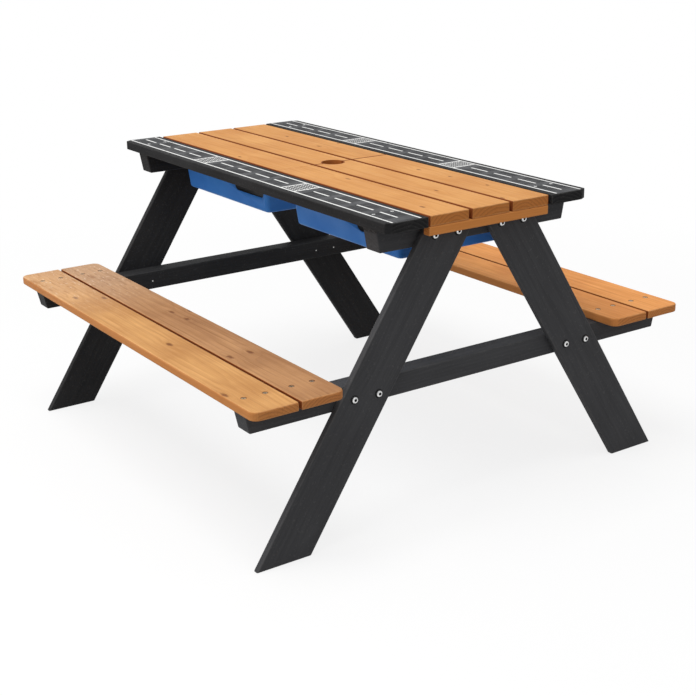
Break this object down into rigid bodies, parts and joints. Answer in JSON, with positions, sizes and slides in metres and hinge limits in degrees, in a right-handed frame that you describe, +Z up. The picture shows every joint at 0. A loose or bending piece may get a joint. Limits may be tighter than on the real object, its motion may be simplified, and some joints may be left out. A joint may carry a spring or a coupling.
{
  "type": "picnic table with sandbox",
  "caption": "Children's picnic table with splayed legs and attached benches, and a table top with lift-off lids over plastic sand and water tubs.",
  "frame": {"origin": "on the floor, below the middle of the table", "axes": "+X along the planks, +Y across the table towards the back bench, +Z up"},
  "size_m": [0.966, 0.9608, 0.56],
  "materials": {
    "honey_wood": "satin oiled",
    "bench_wood": "satin oiled",
    "black_wood": "black stain",
    "blue_plastic": "semi-gloss",
    "zinc_steel": "zinc plated",
    "screw_steel": "yellow passivated"
  },
  "bodies": {
    "frame": {"front_side_plank": "black_wood", "front_tub_strip": "black_wood", "front_bench_outer_plank": "bench_wood", "front_bench_inner_plank": "bench_wood", "back_side_plank": "black_wood", "back_tub_strip": "black_wood", "back_bench_outer_plank": "bench_wood", "back_bench_inner_plank": "bench_wood", "left_top_rail": "black_wood", "left_seat_beam": "black_wood", "left_front_leg": "black_wood", "left_back_leg": "black_wood", "top_rail_bolt_left_front_outer": "zinc_steel", "top_rail_bolt_left_front_inner": "zinc_steel", "top_rail_bolt_left_back_outer": "zinc_steel", "top_rail_bolt_left_back_inner": "zinc_steel", "seat_beam_bolt_left_front_outer": "zinc_steel", "seat_beam_bolt_left_front_inner": "zinc_steel", "seat_beam_bolt_left_back_outer": "zinc_steel", "seat_beam_bolt_left_back_inner": "zinc_steel", "bench_screw_front_outer_plank_left_outer": "screw_steel", "bench_screw_front_outer_plank_left_inner": "screw_steel", "bench_screw_front_inner_plank_left_outer": "screw_steel", "bench_screw_front_inner_plank_left_inner": "screw_steel", "bench_screw_back_outer_plank_left_outer": "screw_steel", "bench_screw_back_outer_plank_left_inner": "screw_steel", "bench_screw_back_inner_plank_left_outer": "screw_steel", "bench_screw_back_inner_plank_left_inner": "screw_steel", "right_top_rail": "black_wood", "right_seat_beam": "black_wood", "right_front_leg": "black_wood", "right_back_leg": "black_wood", "top_rail_bolt_right_front_outer": "zinc_steel", "top_rail_bolt_right_front_inner": "zinc_steel", "top_rail_bolt_right_back_outer": "zinc_steel", "top_rail_bolt_right_back_inner": "zinc_steel", "seat_beam_bolt_right_front_outer": "zinc_steel", "seat_beam_bolt_right_front_inner": "zinc_steel", "seat_beam_bolt_right_back_outer": "zinc_steel", "seat_beam_bolt_right_back_inner": "zinc_steel", "bench_screw_front_outer_plank_right_outer": "screw_steel", "bench_screw_front_outer_plank_right_inner": "screw_steel", "bench_screw_front_inner_plank_right_outer": "screw_steel", "bench_screw_front_inner_plank_right_inner": "screw_steel", "bench_screw_back_outer_plank_right_outer": "screw_steel", "bench_screw_back_outer_plank_right_inner": "screw_steel", "bench_screw_back_inner_plank_right_outer": "screw_steel", "bench_screw_back_inner_plank_right_inner": "screw_steel"},
    "left_tub": {"left_tub": "blue_plastic"},
    "left_lid": {"left_lid_front_plank": "honey_wood", "left_lid_middle_plank": "honey_wood", "left_lid_back_plank": "honey_wood", "left_lid_outer_batten": "honey_wood", "left_lid_inner_batten": "honey_wood"},
    "right_tub": {"right_tub": "blue_plastic"},
    "right_lid": {"right_lid_front_plank": "honey_wood", "right_lid_middle_plank": "honey_wood", "right_lid_back_plank": "honey_wood", "right_lid_outer_batten": "honey_wood", "right_lid_inner_batten": "honey_wood"}
  },
  "joints": [
    {"name": "left_tub_lift", "type": "slide", "parent": "frame", "child": "left_tub", "axis": [0, 0, 1], "range_m": [0, 0.2]},
    {"name": "right_tub_lift", "type": "slide", "parent": "frame", "child": "right_tub", "axis": [0, 0, 1], "range_m": [0, 0.2]},
    {"name": "left_lid_lift", "type": "slide", "parent": "left_tub", "child": "left_lid", "axis": [0, 0, 1], "range_m": [0, 0.2]},
    {"name": "right_lid_lift", "type": "slide", "parent": "right_tub", "child": "right_lid", "axis": [0, 0, 1], "range_m": [0, 0.2]}
  ]
}
